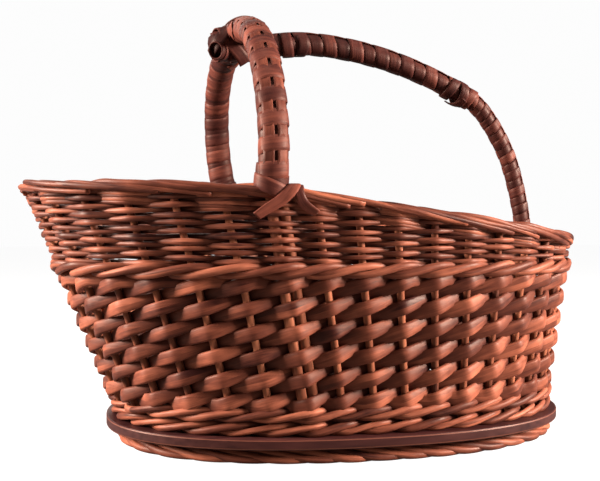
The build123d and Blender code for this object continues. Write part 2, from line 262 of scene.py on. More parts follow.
class Bundle:
    """Strands that become one piece: mesh, UV along and round each strand, tone and painted recess shade."""

    def __init__(self):
        self.points, self.faces, self.uvs, self.tones, self.recess_shades = [], [], [], [], []

    def strand(self, rings, girths, tone, recess_shades, closed=False):
        """Skin over rings of points, with each ring's girth for the UV map and its points' painted recess
        shade.
        """
        first = len(self.points)
        around = len(rings[0])
        shift = Vector((random.uniform(0, 9), random.uniform(0, 9)))
        reached = 0.0
        along = []
        centres = [sum(one, Vector()) / around for one in rings]
        for index, one in enumerate(rings):
            if index:
                reached += (centres[index] - centres[index - 1]).length
            along.append(reached)
            self.points.extend(one)
            self.tones.extend([tone] * around)
            self.recess_shades.extend(recess_shades[index])
        for index in range(len(rings) - 1 + int(closed)):
            after = (index + 1) % len(rings)
            low, high = first + index * around, first + after * around
            u_low = along[index] + shift.x
            u_high = (along[after] if after else reached + (centres[0] - centres[-1]).length) + shift.x
            for step in range(around):
                following = (step + 1) % around
                self.faces.append((low + step, low + following, high + following, high + step))
                v_low = step / around * girths[index] + shift.y
                v_high = (step + 1) / around * girths[index] + shift.y
                self.uvs.extend([(u_low, v_low), (u_low, v_high), (u_high, v_high), (u_high, v_low)])
        if not closed:
            last = first + (len(rings) - 1) * around
            self.cap(first, around, centres[0], True, along[0] + shift.x, shift.y)
            self.cap(last, around, centres[-1], False, reached + shift.x, shift.y)

    def cap(self, first, around, centre, start, u, v):
        """Flat end of a strand."""
        middle = len(self.points)
        self.points.append(centre.copy())
        self.tones.append(self.tones[first])
        self.recess_shades.append(self.recess_shades[first])
        for step in range(around):
            one, other = first + step, first + (step + 1) % around
            self.faces.append((middle, other, one) if start else (middle, one, other))
            self.uvs.extend([(u, v)] * 3)

    def piece(self, name, material, nodes):
        """The finished object, riding on the frame in place of its CAD nodes."""
        mesh = bpy.data.meshes.new(name)
        mesh.from_pydata([tuple(point) for point in self.points], [], self.faces)
        uv_map = mesh.uv_layers.new(name="strand")
        for loop, uv in zip(uv_map.data, self.uvs):
            loop.uv = uv
        for title, values in (("tone", self.tones), ("recess_shade", self.recess_shades)):
            attribute = mesh.attributes.new(title, "FLOAT", "POINT")
            attribute.data.foreach_set("value", values)
        mesh.polygons.foreach_set("use_smooth", [True] * len(mesh.polygons))
        mesh.materials.append(material)
        mesh.update()
        made = bpy.data.objects.new(name, mesh)
        scene.collection.objects.link(made)
        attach(made, "root")
        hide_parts(*nodes)


def curve_value(keys, at):
    """Catmull-Rom value of keys (position, values...) at a position."""
    index = 0
    while index < len(keys) - 2 and keys[index + 1][0] <= at:
        index += 1
    before = keys[max(index - 1, 0)]
    start, end = keys[index], keys[index + 1]
    after = keys[min(index + 2, len(keys) - 1)]
    span = end[0] - start[0]
    share = (at - start[0]) / span
    result = []
    for axis in range(1, len(start)):
        leave = (end[axis] - before[axis]) / max(end[0] - before[0], 1e-9) * span
        arrive = (after[axis] - start[axis]) / max(after[0] - start[0], 1e-9) * span
        square, cube = share * share, share ** 3
        result.append(
            (2 * cube - 3 * square + 1) * start[axis] + (cube - 2 * square + share) * leave
            + (3 * square - 2 * cube) * end[axis] + (cube - square) * arrive
        )
    return result


def section_ring(centre, run, outwards, half_tall, half_thick, sides, squareness=1.0):
    """Oval section across the run: thick along outwards, tall across it."""
    thick_way = (outwards - run * outwards.dot(run)).normalized()
    tall_way = run.cross(thick_way)
    points = []
    for step in range(sides):
        angle = 2 * math.pi * step / sides
        along = signed_power(math.cos(angle), squareness)
        across = signed_power(math.sin(angle), squareness)
        points.append(centre + thick_way * along * half_thick + tall_way * across * half_tall)
    return points


def wall_strand(bundle, route, half_tall, half_thick, tone, step, sides, wobble, squareness=1.0):
    """Strand round the wall along a route: first and last place, and a function for height and out."""
    first, last, follow = route
    count = max(3, int((last - first) / step))
    numbers = [first + (last - first) * index / count for index in range(count + 1)]
    levels = [follow(number) for number in numbers]
    samples = [place(number, z, out) for number, (z, out) in zip(numbers, levels)]
    centres = [centre for centre, _ in samples]
    rings, girths, recess_shades = [], [], []
    phase = random.uniform(0, 6.28)
    for index, (centre, outwards) in enumerate(samples):
        number, out = numbers[index], levels[index][1]
        swell = 1 + wobble * math.sin(number * SWELL_RATE + phase)
        tall = (half_tall(number) if callable(half_tall) else half_tall) * swell
        thick = (half_thick(number) if callable(half_thick) else half_thick) * swell
        one = section_ring(centre, run_at(centres, index), outwards, tall, thick, sides, squareness)
        rings.append(one)
        girths.append(math.pi * (tall + thick))
        # painted shade: the nearer a point lies to the wall's inner side, the darker its colour
        proud = [out + (point - centre).dot(outwards) for point in one]
        recess_shades.append([held(0.5 - height / RECESS_SHADE_DEPTH) for height in proud])
    bundle.strand(rings, girths, tone, recess_shades)


def keyed(keys):
    """Route of a wall strand from keys (number, height, out)."""
    return keys[0][0], keys[-1][0], lambda number: curve_value(keys, number)


# ===== materials =====

class Nodes:
    """Short calls for building a node tree."""

    def __init__(self, tree):
        self.tree = tree

    def add(self, kind, inputs=(), **settings):
        node = self.tree.nodes.new(kind)
        for title, value in settings.items():
            setattr(node, title, value)
        for title, value in dict(inputs).items():
            node.inputs[title].default_value = value
        return node

    def link(self, source, target):
        self.tree.links.new(source, target)

    def math(self, operation, one, other=None, clamp=False):
        node = self.add("ShaderNodeMath", operation=operation, use_clamp=clamp)
        for socket, value in zip(node.inputs, (one, other)):
            if value is None:
                continue
            if isinstance(value, (int, float)):
                socket.default_value = value
            else:
                self.link(value, socket)
        return node.outputs[0]

    def mix(self, factor, one, other):
        node = self.add("ShaderNodeMix", data_type="RGBA")
        for socket, value in ((node.inputs[0], factor), (node.inputs[6], one), (node.inputs[7], other)):
            if isinstance(value, (int, float, tuple)):
                socket.default_value = value
            else:
                self.link(value, socket)
        return node.outputs[2]

    def ramp(self, value, low, high):
        node = self.add("ShaderNodeMapRange", {"From Min": low, "From Max": high}, clamp=True)
        self.link(value, node.inputs["Value"])
        return node.outputs["Result"]

    def stretched(self, vector, scale):
        node = self.add("ShaderNodeMapping", {"Scale": scale})
        self.link(vector, node.inputs["Vector"])
        return node.outputs["Vector"]

    def noise(self, vector, scale, detail, rough):
        node = self.add("ShaderNodeTexNoise", {"Scale": 1.0, "Detail": detail, "Roughness": rough})
        self.link(self.stretched(vector, scale), node.inputs["Vector"])
        return node.outputs["Fac"]

    def swing(self, value, amount):
        """A value's distance from a half, times an amount."""
        return self.math("MULTIPLY", self.math("SUBTRACT", value, 0.5), amount)


def stained_willow_group():
    """Fibre along the strand, patches of stain, knots, and painted shade in the recesses."""
    tree = bpy.data.node_groups.new("stained willow", "ShaderNodeTree")
    for title in WILLOW_COLORS:
        tree.interface.new_socket(title, in_out="INPUT", socket_type="NodeSocketColor")
    for title in WILLOW_VALUES:
        tree.interface.new_socket(title, in_out="INPUT", socket_type="NodeSocketFloat")
    tree.interface.new_socket("Color", in_out="OUTPUT", socket_type="NodeSocketColor")
    for title in ("Roughness", "Height"):
        tree.interface.new_socket(title, in_out="OUTPUT", socket_type="NodeSocketFloat")
    n = Nodes(tree)
    given = n.add("NodeGroupInput").outputs
    uv = n.add("ShaderNodeUVMap", uv_map="strand").outputs["UV"]
    tone = n.add("ShaderNodeAttribute", attribute_name="tone").outputs["Fac"]
    recess_shade = n.add("ShaderNodeAttribute", attribute_name="recess_shade").outputs["Fac"]
    fibre = n.noise(uv, FIBRE_SCALE, 4.0, 0.65)
    streak = n.noise(uv, STREAK_SCALE, 2.0, 0.5)
    patch = n.noise(uv, PATCH_SCALE, 3.0, 0.6)
    value = n.math("ADD", n.swing(tone, given["Tone spread"]), 0.5)
    value = n.math("ADD", value, n.swing(patch, 1.3))
    value = n.math("ADD", value, n.swing(streak, given["Fibre"]))
    value = n.math("ADD", value, n.swing(fibre, given["Fibre"]), True)
    lower = n.mix(n.ramp(value, 0.1, 0.5), given["Dark"], given["Middle"])
    color = n.mix(n.ramp(value, 0.5, 0.95), lower, given["Light"])
    knot = n.add("ShaderNodeTexVoronoi", {"Scale": 1.0})
    n.link(n.stretched(uv, KNOT_SCALE), knot.inputs["Vector"])
    spot = n.math("SUBTRACT", 1.0, n.ramp(knot.outputs["Distance"], 0.03, 0.14))
    spot = n.math("MULTIPLY", spot, given["Knots"])
    color = n.mix(spot, color, given["Dark"])
    # painted shade: the colour is darkened towards Dark where the recess attribute is high
    shade = n.math("MULTIPLY", n.ramp(recess_shade, 0.1, 0.95), given["Recess shade"])
    color = n.mix(shade, color, given["Dark"])
    rough = n.math("ADD", given["Gloss"], n.swing(fibre, 0.28))
    rough = n.math("ADD", rough, n.swing(patch, 0.35), True)
    height = n.math("ADD", n.math("MULTIPLY", fibre, 0.6), n.math("MULTIPLY", streak, 0.8))
    height = n.math("SUBTRACT", height, n.math("MULTIPLY", spot, 0.9))
    done = n.add("NodeGroupOutput").inputs
    n.link(color, done["Color"])
    n.link(rough, done["Roughness"])
    n.link(height, done["Height"])
    return tree


def shader(title, coat, specular, bump):
    """Material with a Principled shader and a bump, and its short-call builder."""
    material = bpy.data.materials.new(title)
    material.use_nodes = True
    material.node_tree.nodes.clear()
    n = Nodes(material.node_tree)
    out = n.add("ShaderNodeOutputMaterial")
    principled = n.add("ShaderNodeBsdfPrincipled", {
        "Specular IOR Level": specular, "Specular Tint": SHEEN_TINT,
        "Coat Weight": coat, "Coat Roughness": 0.3,
    })
    raised = n.add("ShaderNodeBump", {"Strength": bump, "Distance": 0.25 * MM})
    n.link(principled.outputs["BSDF"], out.inputs["Surface"])
    n.link(raised.outputs["Normal"], principled.inputs["Normal"])
    return material, n, principled, raised


willow_group = stained_willow_group()


def willow(title, light, middle, dark, values):
    """Stained willow material from the shared group, with its own colours and values."""
    material, n, principled, raised = shader(title, 0.0, WILLOW_SPECULAR, WILLOW_BUMP)
    use = n.add("ShaderNodeGroup", node_tree=willow_group)
    for name, color in zip(WILLOW_COLORS, (light, middle, dark)):
        use.inputs[name].default_value = (*color, 1.0)
    for name, value in zip(WILLOW_VALUES, values):
        use.inputs[name].default_value = value
    n.link(use.outputs["Color"], principled.inputs["Base Color"])
    n.link(use.outputs["Roughness"], principled.inputs["Roughness"])
    n.link(use.outputs["Height"], raised.inputs["Height"])
    return material


# The fourth value sets how strongly painted shade darkens each strand towards its recesses.
body_willow = willow(
    "split willow", (0.40, 0.116, 0.062), (0.140, 0.037, 0.021), (0.030, 0.007, 0.006),
    (0.45, 0.5, 0.35, 0.95, 0.48))
weaver_willow = willow(
    "fine willow", (0.42, 0.128, 0.070), (0.148, 0.040, 0.023), (0.026, 0.007, 0.006),
    (0.55, 0.5, 0.2, 1.0, 0.46))
stake_willow = willow(
    "stake willow", (0.42, 0.142, 0.072), (0.180, 0.052, 0.026), (0.045, 0.012, 0.008),
    (0.45, 0.45, 0.3, 0.6, 0.48))
border_willow = willow(
    "border willow", (0.43, 0.128, 0.068), (0.160, 0.043, 0.024), (0.032, 0.008, 0.007),
    (0.55, 0.5, 0.3, 0.5, 0.46))
skein = willow(
    "willow skein", (0.200, 0.053, 0.033), (0.066, 0.016, 0.012), (0.018, 0.005, 0.005),
    (0.55, 0.55, 0.12, 0.85, 0.5))
lister_skein = willow(
    "lister skein", (0.290, 0.080, 0.044), (0.115, 0.028, 0.017), (0.030, 0.008, 0.006),
    (0.3, 0.5, 0.1, 0.5, 0.5))


def plywood_material():
    """Dark stained plywood: face grain along X, and a painted highlight line near each face at the edge."""
    material, n, principled, raised = shader("plywood", 0.06, 0.25, 0.4)
    where = n.add("ShaderNodeTexCoord").outputs["Object"]
    grain = n.noise(where, (18.0, 260.0, 260.0), 4.0, 0.6)
    broad = n.noise(where, (8.0, 40.0, 8.0), 2.0, 0.5)
    value = n.math("ADD", n.math("MULTIPLY", grain, 0.6), n.math("MULTIPLY", broad, 0.4))
    color = n.mix(n.ramp(value, 0.3, 0.7), (0.016, 0.004, 0.005, 1), (0.060, 0.015, 0.013, 1))
    split = n.add("ShaderNodeSeparateXYZ")
    n.link(where, split.inputs[0])
    middle = (BOARD_TOP + BOARD_UNDER) / 2
    # painted highlight: a pale line a little in from each face at the edge, which the bump also sinks as a
    # groove
    from_middle = n.math("ABSOLUTE", n.math("SUBTRACT", split.outputs["Z"], middle))
    from_highlight = n.math("ABSOLUTE", n.math("SUBTRACT", from_middle, HIGHLIGHT_LINE))
    line = n.math("SUBTRACT", 1.0, n.ramp(from_highlight, 0.1 * MM, 0.4 * MM))
    color = n.mix(n.math("MULTIPLY", line, 0.7), color, (0.20, 0.062, 0.036, 1))
    rough = n.math("ADD", 0.30, n.math("MULTIPLY", grain, 0.3))
    n.link(color, principled.inputs["Base Color"])
    n.link(rough, principled.inputs["Roughness"])
    n.link(n.math("SUBTRACT", grain, line), raised.inputs["Height"])
    return material


plywood = plywood_material()


def make_board():
    """The CAD board stays, in plywood."""
    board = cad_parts["base_board"]
    board.data.materials.clear()
    board.data.materials.append(plywood)
    for polygon in board.data.polygons:
        polygon.material_index = 0


# ===== woven wall =====

def zigzag(turns):
    """-1 behind the first post, 1 in front of the next, nearly straight between them."""
    return math.asin(-BEND_SHARP * math.cos(math.pi * turns)) / math.asin(BEND_SHARP)


def weave_out(reach, number, first):
    """Distance out of a weaver that passes behind one post, and in front of the next."""
    return (reach + LEG_EXTRA * leg_near(number)) * zigzag(number - first)


def make_body():
    """Split rods in French randing, one from each space, climbing side by side."""
    bundle = Bundle()
    reach = STAKE_RADIUS + BODY_HALF_THICK + GAP
    for start in range(POSTS):
        stout = random.uniform(0.92, 1.06)
        lift = random.uniform(-0.35, 0.35) * MM

        def follow(number):
            share = held(number - start, -BODY_TUCK_CLIMB, BODY_STEPS + BODY_TUCK_CLIMB)
            return BODY_FIRST + BODY_CLIMB * share + lift, weave_out(reach, number, start - 1)

        def tall(number):
            return curve_value(BODY_HALF_TALL, (number - start + 1) % 2 - 1)[0] * stout * BODY_FULLER

        wall_strand(
            bundle, (start - BODY_TUCK, start + BODY_STEPS + BODY_TUCK, follow), tall, BODY_HALF_THICK,
            random.random(), step=0.0667, sides=12, wobble=0.03, squareness=BODY_SQUARE)
    bundle.piece("body_rods", body_willow, ["body_weave"])


def wale_keys(first, z, radius):
    """Keys of one of three rods that pass in front of two posts and behind one."""
    reach = STAKE_RADIUS + radius + GAP
    half_lift = radius + GAP / 2
    keys = [(first + 0.1, z, -reach)]
    for step in range(1, POSTS):
        number = first + step
        phase = step % 3
        extra = LEG_EXTRA if number % POSTS in LEG_POSTS else 0
        if phase == 0:
            keys.append((number, z, -reach - extra))
        elif phase == 1:
            keys.append((number - 0.5, z - half_lift, 0.0))
            keys.append((number, z - half_lift, reach + extra))
        else:
            keys.append((number, z + half_lift, reach + extra))
            keys.append((number + 0.5, z + half_lift, 0.0))
    keys.append((first + POSTS - 0.1, z, -reach))
    return keys


def make_wale(name, node, base, rounds, radius):
    """Rounds of three-rod waling."""
    bundle = Bundle()
    for turn in range(rounds):
        z = base + (2 * radius + GAP) * (2 * turn + 1)
        start = WALE_JOINT + JOINT_STAGGER * turn
        for rod in range(3):
            size = radius * random.uniform(0.84, 1.02)
            wall_strand(
                bundle, keyed(wale_keys(start + rod, z, radius)), size * WALE_TALLER, size,
                random.random(), step=0.09, sides=10, wobble=0.12)
    bundle.piece(name, weaver_willow, [node])


def fine_row_posts(z):
    """Posts round the tall end that a fine row at height z reaches under the border."""
    low_end = SPACES_LOW_END // 2
    return [number for number in range(low_end, low_end + POSTS) if border_base(number) + FINE_REACH >= z]


def pack_under_border(bundle, turn, below):
    """Fine rod that follows the border's underside all the way round."""
    size = FINE_RADIUS * random.uniform(0.95, 1.1)
    reach = STAKE_RADIUS + size + GAP
    first = SPACES_LOW_END // 2 - 3 * turn

    def follow(number):
        level = border_base(number) - below + 0.3 * MM * math.sin(number * 1.3 + turn)
        return max(level, FINE_FIRST), weave_out(reach, number, first - turn)

    wall_strand(
        bundle, (first - 0.3, first + POSTS + 0.3, follow), size * 1.2, size,
        random.random(), step=0.08, sides=8, wobble=0.1)


def make_fine_rows():
    """Fine rods in plain randing, packed up to the border; each row ends where the rim comes down."""
    bundle = Bundle()
    z = FINE_FIRST
    row = 0
    reached = fine_row_posts(z)
    while len(reached) >= FINE_LEAST:
        first = reached[0] + (reached[0] + row) % 2
        last = reached[-1] - (reached[-1] - first) % 2
        size = FINE_RADIUS * random.uniform(0.85, 1.14)
        reach = STAKE_RADIUS + size + GAP
        drift = random.uniform(0, 6)
        first -= FINE_ON
        last += FINE_ON

        def follow(number):
            level = z + FINE_WANDER * math.sin(number * 0.9 + drift)
            return min(level, border_base(number) + FINE_HIGHEST), weave_out(reach, number, first)

        def half_thick(number):
            return size * (1.12 - 0.24 * (number - first) / (last - first))

        def half_tall(number):
            return half_thick(number) * (1.22 + 0.32 * abs(zigzag(number - first)))

        wall_strand(
            bundle, (first - 0.3, last + 0.3, follow), half_tall, half_thick,
            random.random(), step=0.08, sides=8, wobble=0.1)
        z += FINE_PITCH
        row += 1
        reached = fine_row_posts(z)
    for turn, below in enumerate(BORDER_ROWS):
        pack_under_border(bundle, turn, below * MM)
    bundle.piece("fine_rods", weaver_willow, ["fine_rows"])


def free_strand(bundle, points, radii, tone, sides=10, samples=6, recess_shade=0.0):
    """Round strand through points in space, smooth, with a radius at each point."""
    keys = [(index, *point, radius) for index, (point, radius) in enumerate(zip(points, radii))]
    count = (len(points) - 1) * samples
    values = [curve_value(keys, (len(points) - 1) * index / count) for index in range(count + 1)]
    centres = [Vector(value[:3]) for value in values]
    rings = []
    reference = Vector((0.3, 0.2, 1.0))
    previous = None
    for index, centre in enumerate(centres):
        run = run_at(centres, index)
        side = previous if previous is not None else reference.cross(run)
        side = (side - run * side.dot(run)).normalized()
        previous = side
        rings.append(section_ring(centre, run, side, values[index][3], values[index][3], sides))
    girths = [2 * math.pi * value[3] for value in values]
    bundle.strand(rings, girths, tone, [[recess_shade] * sides] * len(rings))


def even_rod(bundle, line, radius, tone, recess_shade=0.0):
    """Round rod of one thickness along a line of points."""
    free_strand(bundle, line, [radius] * len(line), tone, samples=1, recess_shade=recess_shade)


def make_stakes():
    """Upright stakes from the board to the border."""
    bundle = Bundle()
    for number in STAKE_POSTS:
        low, high = BOARD_TOP - 1 * MM, border_base(number) + 0.5 * MM
        points = []
        for level in range(STAKE_LEVELS + 1):
            z = low + (high - low) * level / STAKE_LEVELS
            out = random.uniform(-0.25, 0.25) * MM
            points.append(place(number, z, out)[0])
        radii = [STAKE_RADIUS * (1.03 - 0.1 * level / STAKE_LEVELS) for level in range(STAKE_LEVELS + 1)]
        free_strand(bundle, points, radii, random.random(), sides=12, samples=4)
    bundle.piece("stakes", stake_willow, ["side_stakes"])


def make_foot():
    """Butts of the stakes, laid outwards under the board, each over the next two, then tucked in."""
    bundle = Bundle()
    high = BOARD_UNDER - TAIL_RADIUS - GAP
    route = [  # spaces passed, height, out
        (0.0, BOARD_UNDER + 1 * MM, 0.0), (0.02, high + 1.2 * MM, 0.0), (0.3, high - 0.2 * MM, 1.4 * MM),
        (1.0, 5.6 * MM, 4.8 * MM), (1.7, 3.2 * MM, 7.4 * MM), (2.2, 2.5 * MM, 7.5 * MM),
        (2.7, 2.3 * MM, 5.6 * MM), (3.2, 2.3 * MM, 2.0 * MM),
    ]
    for number in range(POSTS):
        size = TAIL_RADIUS * random.uniform(1.0, 1.1)
        points = [place(number + step, z, out)[0] for step, z, out in route]
        radii = [size] * 3 + [size * 1.05] * 2 + [size, size * 0.92, size * 0.8]
        free_strand(bundle, points, radii, random.random(), samples=6)
    bundle.piece("foot_strands", border_willow, ["foot_border"])


def make_border():
    """Tips of the stakes: behind one post, over the top, and down in front of the next four."""
    bundle = Bundle()
    route = [  # spaces passed, out, height above the border's base line
        (0.0, 0.0, -4.0), (0.05, 0.0, 0.6), (0.35, -1.4, 2.6), (0.8, -3.8, 4.4), (1.2, -3.6, 6.0),
        (1.6, -1.0, 7.3), (2.0, 2.2, 7.3), (2.6, 4.4, 6.6), (3.3, 5.1, 5.4), (4.1, 5.1, 4.1),
        (4.8, 4.8, 2.9), (5.3, 3.9, 2.0),
    ]
    for number in range(POSTS):
        size = TAIL_RADIUS * random.uniform(0.84, 1.02)
        used = route[3:] if number in LEG_POSTS else route
        cut_short = random.choice((0, 0, 1, 2))
        sway = random.uniform(-0.9, 0.9)
        points = []
        for step, out, lift in used[:len(used) - cut_short]:
            at = number + step
            if leg_near(at) > 0.7:
                out += math.copysign(1.1, out)
            lift += random.uniform(-0.5, 0.5) + sway * min(step / 2, 1)
            points.append(place(at, border_base(at) + lift * MM, out * MM)[0])
        radii = [size * (1.08 - 0.024 * index) for index in range(len(points))]
        free_strand(bundle, points, radii, random.random(), sides=12, samples=6)
    bundle.piece("border_strands", border_willow, ["rim_border"])


# ===== handle =====
# What lays skein takes its width, lift, lean and bump in millimetres, and distances in metres.

def smooth_path(corners, spacing=1.2 * MM):
    """Even points along the quadratic B-spline of a path's corners, ends kept."""
    points = []
    stretches = len(corners) - 2
    for index in range(stretches):
        start = corners[0] if index == 0 else (corners[index] + corners[index + 1]) / 2
        bend = corners[index + 1]
        end = corners[-1] if index == stretches - 1 else (corners[index + 1] + corners[index + 2]) / 2
        for step in range(SPLINE_STEPS):
            share = step / SPLINE_STEPS
            points.append(start * (1 - share) ** 2 + bend * 2 * share * (1 - share) + end * share ** 2)
    points.append(corners[-1].copy())
    reached = reaches(points)
    count = max(4, int(reached[-1] / spacing))
    even, index = [], 0
    for step in range(count + 1):
        wanted = reached[-1] * step / count
        while index < len(points) - 2 and reached[index + 1] < wanted:
            index += 1
        share = (wanted - reached[index]) / max(reached[index + 1] - reached[index], 1e-9)
        even.append(points[index] + (points[index + 1] - points[index]) * share)
    return even


class Handle:
    """A wrapped stretch: a path, its outer side, and the half sizes of its core in millimetres."""

    def __init__(self, corners, side, wide, deep, wide_end=None, deep_end=None):
        self.points = smooth_path(corners)
        self.side = side.normalized()
        self.sizes = [size * MM for size in (wide, deep, wide_end or wide, deep_end or deep)]
        self.length = reaches(self.points)[-1]

    def frame(self, distance):
        """Centre, run, side and outer direction at a distance along the path."""
        count = len(self.points) - 1
        at = held(distance / self.length) * count
        index = min(int(at), count - 1)
        centre = self.points[index].lerp(self.points[index + 1], at - index)
        low, high = max(index - 1, 0), min(index + 2, count)
        run = (self.points[high] - self.points[low]).normalized()
        centre = centre + run * (distance - held(distance, 0.0, self.length))
        side = (self.side - run * self.side.dot(run)).normalized()
        return centre, run, side, run.cross(side)

    def on(self, distance, angle, lift=0.0):
        """Point on the wrapped surface; angle 90 degrees is the outer side. With its normal."""
        centre, _, side, outer = self.frame(distance)
        share = held(distance / self.length)
        wide = self.sizes[0] + (self.sizes[2] - self.sizes[0]) * share
        deep = self.sizes[1] + (self.sizes[3] - self.sizes[1]) * share
        across, out = math.cos(angle), math.sin(angle)
        normal = (side * across / wide + outer * out / deep).normalized()
        return centre + side * across * wide + outer * out * deep + normal * lift, normal


def ribbon(bundle, samples, width, tone, recess_shade=0.0, closed=False, thickness=SKEIN_THICK):
    """Flat strip with rounded edges along samples of (point, normal); its width is in millimetres."""
    width *= MM
    half = width / 2
    edge = min(thickness / 2, half * 0.8)
    shape = [
        (-half, 0.0), (-half + edge * 0.5, -edge), (half - edge * 0.5, -edge), (half, 0.0),
        (half - edge * 0.45, edge * 0.85), (half * 0.5, edge * 1.12), (0.0, edge * 1.18),
        (-half * 0.5, edge * 1.12), (-half + edge * 0.45, edge * 0.85),
    ]
    rings = []
    count = len(samples)
    points = [point for point, _ in samples]
    for index, (point, normal) in enumerate(samples):
        if closed:
            run = (points[(index + 1) % count] - points[index - 1]).normalized()
        else:
            run = run_at(points, index)
        across = normal.cross(run).normalized()
        up = run.cross(across).normalized()
        rings.append([point + across * x + up * y for x, y in shape])
    bundle.strand(rings, [width * 2.1] * count, tone, [[recess_shade] * len(shape)] * count, closed)


def smooth_step(value, low, high):
    """0 up to low, 1 from high, and an even bend between them."""
    share = held((value - low) / (high - low))
    return share * share * (3 - 2 * share)


def wrap_handle(bundle, handle, start, end, pitch, widths, bump, face_half, seam_turns=False):
    """Skein wound along a handle; every second turn passes over the listers on its outer side."""
    turns = int((end - start) / pitch)
    pitch = (end - start) / turns
    tone = random.random()
    for turn in range(turns):
        over = turn % 2 == 0
        width = widths[turn % 2] * random.uniform(0.94, 1.05)
        tone = 0.5 * tone + 0.5 * random.random()
        samples = []
        drift = random.uniform(-0.3, 0.3) * MM
        seam = math.pi / 2 if seam_turns and (turn + 0.5) / turns > 0.5 else -math.pi / 2
        for step in range(WRAP_SIDES + 2 * WRAP_LAP + 1):
            share = (step - WRAP_LAP) / WRAP_SIDES
            angle = 2 * math.pi * share + seam
            distance = start + pitch * (turn + share) + drift
            edge = math.cos(face_half)
            on_face = smooth_step(math.sin(angle), edge - 0.22, edge + 0.05)
            lift = (0.3 * MM + bump * MM * on_face) if over else 0.0
            # a turn's two ends sink under its neighbours
            lift -= max(0.0, abs(share - 0.5) - 0.47) / 0.06 * 0.5 * MM
            samples.append(handle.on(distance, angle, lift))
        # painted shade: a little on the turns over the listers, more on the turns under them
        ribbon(bundle, samples, width, tone, recess_shade=0.15 if over else 0.5)


def lay_lister(bundle, handle, start, pitch, degrees, width, bump):
    """Strip along the handle, proud of one turn of the wrapping and under the next."""
    end = handle.length
    turns = int((end - start) / pitch)
    pitch = (end - start) / turns
    count = int((end - start) / (1.0 * MM))
    samples = []
    for index in range(count + 1):
        distance = start + (end - start) * index / count
        wave = math.cos(math.pi * ((distance - start) / pitch - 0.5))
        samples.append(handle.on(distance, math.radians(degrees), 0.9 * MM + bump * MM * (0.5 - 0.5 * wave)))
    ribbon(bundle, samples, width, random.random(), thickness=0.9 * MM)


def one_turn(sides):
    """Even angles all the way round."""
    return [2 * math.pi * step / sides for step in range(sides)]


def loop_round(bundle, handle, distance, width, lift, lean=0.0, phase=0.0):
    """Closed turn of skein round a wrapped stretch; it leans along the handle as it goes round."""
    samples = []
    for angle in one_turn(LOOP_SIDES):
        samples.append(handle.on(distance + lean * MM * math.sin(angle + phase), angle, lift * MM))
    ribbon(bundle, samples, width, random.random(), closed=True)


def strip(bundle, keys, width, tone=None):
    """Flat strip through points, each with the direction that its face looks in."""
    rows = [(index, *point, *face) for index, (point, face) in enumerate(keys)]
    count = (len(keys) - 1) * STRIP_SAMPLES
    line = []
    for index in range(count + 1):
        value = curve_value(rows, (len(keys) - 1) * index / count)
        line.append((Vector(value[:3]), Vector(value[3:]).normalized()))
    ribbon(bundle, line, width, random.random() if tone is None else tone)


def in_metres(corners):
    """Points from corners in millimetres."""
    return [Vector(corner) * MM for corner in corners]


hoop_foot = place(0, RIM_AT_HOOP)[0]
shoulder = Vector((HOOP_X, HOOP_CORNERS[0][1] * MM, HOOP_CORNERS[0][2] * MM))
rim_share = LEG_WRAP_LIFT / (shoulder.z - hoop_foot.z)
leg_start = hoop_foot.lerp(shoulder, rim_share)
hoop_corners = [Vector((HOOP_X + x * MM, y * MM, z * MM)) for x, y, z in HOOP_CORNERS]
hoop_corners = [leg_start, *hoop_corners, Vector((leg_start.x + 0.5 * MM, -leg_start.y, leg_start.z))]
arm_corners = in_metres(ARM_CORNERS)

hoop = Handle(hoop_corners, Vector((-1, 0, 0)), 8.4, 7.2, 9.6, 8.0)
arm_start = arm_corners[0].lerp(arm_corners[1], 0.45)
arm_change = arm_corners[3].lerp(arm_corners[4], 0.75)
arm_end = arm_corners[7].lerp(arm_corners[8], 0.13)
arm_side = (arm_corners[4] - arm_corners[1]).cross(Vector((0, 0, 1)))
upper_path, lower_path = [arm_start, *arm_corners[1:4], arm_change], [arm_change, *arm_corners[4:8], arm_end]
upper_arm = Handle(upper_path, -arm_side, 7.6, 7.2, 6.6, 6.3)
lower_arm = Handle(lower_path, -arm_side, 6.0, 5.6, 5.2, 5.0)


def make_hoop():
    """Wrapping of the hoop over two listers on its outer side."""
    wraps = Bundle()
    wrap_handle(
        wraps, hoop, 1 * MM, hoop.length - 1 * MM, HOOP_PITCH, (10.6, 8.0), 1.2, 1.0,
        seam_turns=True)
    wraps.piece("hoop_wrapping", skein, ["hoop_wrap"])
    listers = Bundle()
    for degrees in (65, 115):
        lay_lister(listers, hoop, 0.0, HOOP_PITCH, degrees, 6.9, 0.7)
    listers.piece("hoop_lister_strips", lister_skein, ["hoop_listers"])


def make_arm():
    """Wrappings of the arm over one lister, wide turns above and narrow turns below."""
    upper = Bundle()
    wrap_handle(upper, upper_arm, 9 * MM, upper_arm.length, UPPER_PITCH, (10.8, 10.4), 1.3, 0.6)
    upper.piece("arm_wrapping_upper", skein, ["arm_wrap_upper"])
    lower = Bundle()
    wrap_handle(lower, lower_arm, 0.0, lower_arm.length, LOWER_PITCH, (7.4, 6.8), 1.1, 0.6)
    lower.piece("arm_wrapping_lower", skein, ["arm_wrap_lower"])
    lister = Bundle()
    lay_lister(lister, upper_arm, 4 * MM, UPPER_PITCH, 90, 6.0, 0.5)
    lay_lister(lister, lower_arm, 0.0, LOWER_PITCH, 90, 4.6, 0.5)
    lister.piece("arm_lister_strip", lister_skein, ["arm_lister"])


def lash_strips(bundle, shifts, rows, width):
    """Strips over the hoop's crown, alike but for a shift along it and a lift."""
    for shift, lift in shifts:
        keys = []
        for along, degrees, more in rows:
            distance = hoop.length / 2 + (shift + along) * MM
            keys.append(hoop.on(distance, math.radians(degrees), (lift + more) * MM))
        strip(bundle, keys, width)


